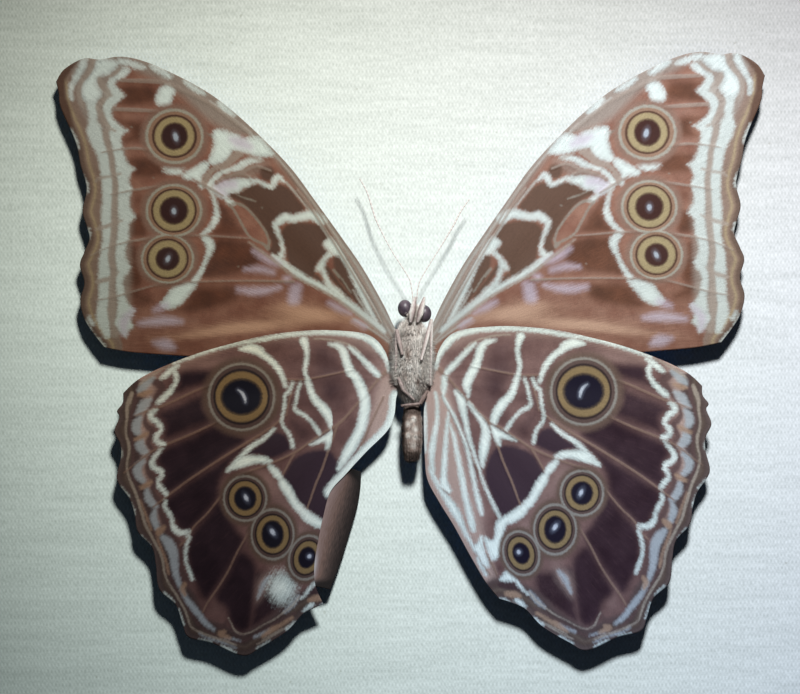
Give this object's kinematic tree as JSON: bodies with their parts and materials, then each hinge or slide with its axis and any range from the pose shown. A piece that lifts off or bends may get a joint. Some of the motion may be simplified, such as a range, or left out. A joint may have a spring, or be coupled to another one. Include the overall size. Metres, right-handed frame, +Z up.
{
  "type": "mounted butterfly specimen",
  "caption": "Spread butterfly with eyespots, underside up, held on a hidden pin over a linen-covered backing board.",
  "frame": {"origin": "middle of the board's underside, on the surface that it lies on", "axes": "+X to the right as the specimen is looked at, along the board's long side; +Y towards the butterfly's head; +Z up out of the board"},
  "size_m": [0.16, 0.14, 0.0139],
  "materials": {
    "board": "plain fibre board",
    "linen": "plain-woven bleached linen",
    "pin": "drawn steel wire",
    "body_fur": "short grey-brown hair with cream flecks",
    "eye": "dull dark compound eye",
    "leg": "pale brown scales",
    "antenna": "fine chitin",
    "forewing": "scales in brown, white and ochre",
    "hindwing": "scales in dark brown, white and ochre"
  },
  "bodies": {
    "root": {"backing_board": "board", "linen_cover": "linen", "mounting_pin": "pin", "thorax": "body_fur", "abdomen": "body_fur", "head": "body_fur", "left_eye": "eye", "right_eye": "eye", "left_palp": "leg", "right_palp": "leg", "left_antenna": "antenna", "right_antenna": "antenna", "right_middle_leg": "leg", "right_hind_leg": "leg", "left_middle_leg": "leg", "left_hind_leg": "leg", "right_forewing": "forewing", "left_forewing": "forewing", "right_hindwing": "hindwing", "left_hindwing": "hindwing"}
  },
  "joints": []
}
